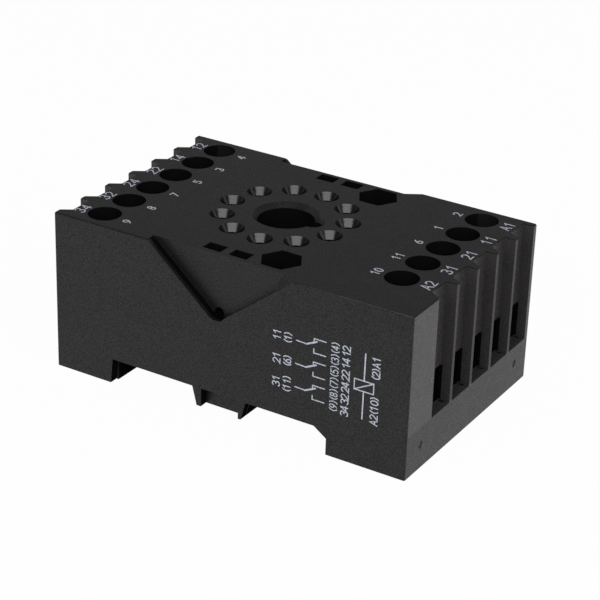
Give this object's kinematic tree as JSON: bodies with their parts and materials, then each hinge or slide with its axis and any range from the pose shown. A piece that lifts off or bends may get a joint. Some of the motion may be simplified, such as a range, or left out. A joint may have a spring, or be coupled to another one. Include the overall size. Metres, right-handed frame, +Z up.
{
  "type": "relay socket",
  "caption": "Low plug-in relay socket with a keyed ring of pin holes, screw clamps along both ends and a rail groove below.",
  "frame": {"origin": "centre of the box around the part, at its lowest face, the underside of the two feet", "axes": "+X along the body toward the end with five terminals, +Y across it, +Z up out of the pin holes"},
  "size_m": [0.0608, 0.038, 0.0256],
  "materials": {
    "moulded_black": "fine moulded grain",
    "latch_black": "fine moulded grain",
    "contact_brass": "bright stamped",
    "clamp_steel": "zinc plated",
    "screw_steel": "zinc plated",
    "spring_steel": "drawn wire"
  },
  "bodies": {
    "socket_body": {"housing": "moulded_black", "base": "moulded_black", "latch_spring": "spring_steel", "pin_contact_9": "contact_brass", "pin_contact_8": "contact_brass", "pin_contact_7": "contact_brass", "pin_contact_5": "contact_brass", "pin_contact_3": "contact_brass", "pin_contact_4": "contact_brass", "pin_contact_10": "contact_brass", "pin_contact_11": "contact_brass", "pin_contact_6": "contact_brass", "pin_contact_1": "contact_brass", "pin_contact_2": "contact_brass"},
    "latch": {"rail_latch": "latch_black"},
    "screw_9": {"clamp_screw_9": "screw_steel"},
    "clamp_9": {"wire_clamp_9": "clamp_steel"},
    "screw_8": {"clamp_screw_8": "screw_steel"},
    "clamp_8": {"wire_clamp_8": "clamp_steel"},
    "screw_7": {"clamp_screw_7": "screw_steel"},
    "clamp_7": {"wire_clamp_7": "clamp_steel"},
    "screw_5": {"clamp_screw_5": "screw_steel"},
    "clamp_5": {"wire_clamp_5": "clamp_steel"},
    "screw_3": {"clamp_screw_3": "screw_steel"},
    "clamp_3": {"wire_clamp_3": "clamp_steel"},
    "screw_4": {"clamp_screw_4": "screw_steel"},
    "clamp_4": {"wire_clamp_4": "clamp_steel"},
    "screw_10": {"clamp_screw_10": "screw_steel"},
    "clamp_10": {"wire_clamp_10": "clamp_steel"},
    "screw_11": {"clamp_screw_11": "screw_steel"},
    "clamp_11": {"wire_clamp_11": "clamp_steel"},
    "screw_6": {"clamp_screw_6": "screw_steel"},
    "clamp_6": {"wire_clamp_6": "clamp_steel"},
    "screw_1": {"clamp_screw_1": "screw_steel"},
    "clamp_1": {"wire_clamp_1": "clamp_steel"},
    "screw_2": {"clamp_screw_2": "screw_steel"},
    "clamp_2": {"wire_clamp_2": "clamp_steel"}
  },
  "joints": [
    {"name": "latch_slide", "type": "slide", "parent": "socket_body", "child": "latch", "axis": [1, 0, 0], "range_m": [0, 0.002], "stiffness_N_per_m": 1200, "springref_m": -0.0015, "deforming": ["latch_spring"]},
    {"name": "screw_turn_9", "type": "hinge", "parent": "socket_body", "child": "screw_9", "pos_m": [-0.02386, -0.01525, 0.02095], "axis": [0, 0, -1], "range_deg": [0, 2520]},
    {"name": "clamp_rise_9", "type": "slide", "parent": "socket_body", "child": "clamp_9", "axis": [0, 0, 1], "range_m": [0, 0.0035]},
    {"name": "screw_turn_8", "type": "hinge", "parent": "socket_body", "child": "screw_8", "pos_m": [-0.02386, -0.00915, 0.02095], "axis": [0, 0, -1], "range_deg": [0, 2520]},
    {"name": "clamp_rise_8", "type": "slide", "parent": "socket_body", "child": "clamp_8", "axis": [0, 0, 1], "range_m": [0, 0.0035]},
    {"name": "screw_turn_7", "type": "hinge", "parent": "socket_body", "child": "screw_7", "pos_m": [-0.02386, -0.00305, 0.02095], "axis": [0, 0, -1], "range_deg": [0, 2520]},
    {"name": "clamp_rise_7", "type": "slide", "parent": "socket_body", "child": "clamp_7", "axis": [0, 0, 1], "range_m": [0, 0.0035]},
    {"name": "screw_turn_5", "type": "hinge", "parent": "socket_body", "child": "screw_5", "pos_m": [-0.02386, 0.00305, 0.02095], "axis": [0, 0, -1], "range_deg": [0, 2520]},
    {"name": "clamp_rise_5", "type": "slide", "parent": "socket_body", "child": "clamp_5", "axis": [0, 0, 1], "range_m": [0, 0.0035]},
    {"name": "screw_turn_3", "type": "hinge", "parent": "socket_body", "child": "screw_3", "pos_m": [-0.02386, 0.00915, 0.02095], "axis": [0, 0, -1], "range_deg": [0, 2520]},
    {"name": "clamp_rise_3", "type": "slide", "parent": "socket_body", "child": "clamp_3", "axis": [0, 0, 1], "range_m": [0, 0.0035]},
    {"name": "screw_turn_4", "type": "hinge", "parent": "socket_body", "child": "screw_4", "pos_m": [-0.02386, 0.01525, 0.02095], "axis": [0, 0, -1], "range_deg": [0, 2520]},
    {"name": "clamp_rise_4", "type": "slide", "parent": "socket_body", "child": "clamp_4", "axis": [0, 0, 1], "range_m": [0, 0.0035]},
    {"name": "screw_turn_10", "type": "hinge", "parent": "socket_body", "child": "screw_10", "pos_m": [0.02305, -0.00915, 0.02095], "axis": [0, 0, -1], "range_deg": [0, 2520]},
    {"name": "clamp_rise_10", "type": "slide", "parent": "socket_body", "child": "clamp_10", "axis": [0, 0, 1], "range_m": [0, 0.0035]},
    {"name": "screw_turn_11", "type": "hinge", "parent": "socket_body", "child": "screw_11", "pos_m": [0.02305, -0.00305, 0.02095], "axis": [0, 0, -1], "range_deg": [0, 2520]},
    {"name": "clamp_rise_11", "type": "slide", "parent": "socket_body", "child": "clamp_11", "axis": [0, 0, 1], "range_m": [0, 0.0035]},
    {"name": "screw_turn_6", "type": "hinge", "parent": "socket_body", "child": "screw_6", "pos_m": [0.02305, 0.00305, 0.02095], "axis": [0, 0, -1], "range_deg": [0, 2520]},
    {"name": "clamp_rise_6", "type": "slide", "parent": "socket_body", "child": "clamp_6", "axis": [0, 0, 1], "range_m": [0, 0.0035]},
    {"name": "screw_turn_1", "type": "hinge", "parent": "socket_body", "child": "screw_1", "pos_m": [0.02305, 0.00915, 0.02095], "axis": [0, 0, -1], "range_deg": [0, 2520]},
    {"name": "clamp_rise_1", "type": "slide", "parent": "socket_body", "child": "clamp_1", "axis": [0, 0, 1], "range_m": [0, 0.0035]},
    {"name": "screw_turn_2", "type": "hinge", "parent": "socket_body", "child": "screw_2", "pos_m": [0.02305, 0.01525, 0.02095], "axis": [0, 0, -1], "range_deg": [0, 2520]},
    {"name": "clamp_rise_2", "type": "slide", "parent": "socket_body", "child": "clamp_2", "axis": [0, 0, 1], "range_m": [0, 0.0035]}
  ],
  "couplings": [
    {"joint": "screw_turn_9", "follows": "clamp_rise_9", "rad_per_m": 12566},
    {"joint": "screw_turn_8", "follows": "clamp_rise_8", "rad_per_m": 12566},
    {"joint": "screw_turn_7", "follows": "clamp_rise_7", "rad_per_m": 12566},
    {"joint": "screw_turn_5", "follows": "clamp_rise_5", "rad_per_m": 12566},
    {"joint": "screw_turn_3", "follows": "clamp_rise_3", "rad_per_m": 12566},
    {"joint": "screw_turn_4", "follows": "clamp_rise_4", "rad_per_m": 12566},
    {"joint": "screw_turn_10", "follows": "clamp_rise_10", "rad_per_m": 12566},
    {"joint": "screw_turn_11", "follows": "clamp_rise_11", "rad_per_m": 12566},
    {"joint": "screw_turn_6", "follows": "clamp_rise_6", "rad_per_m": 12566},
    {"joint": "screw_turn_1", "follows": "clamp_rise_1", "rad_per_m": 12566},
    {"joint": "screw_turn_2", "follows": "clamp_rise_2", "rad_per_m": 12566}
  ]
}
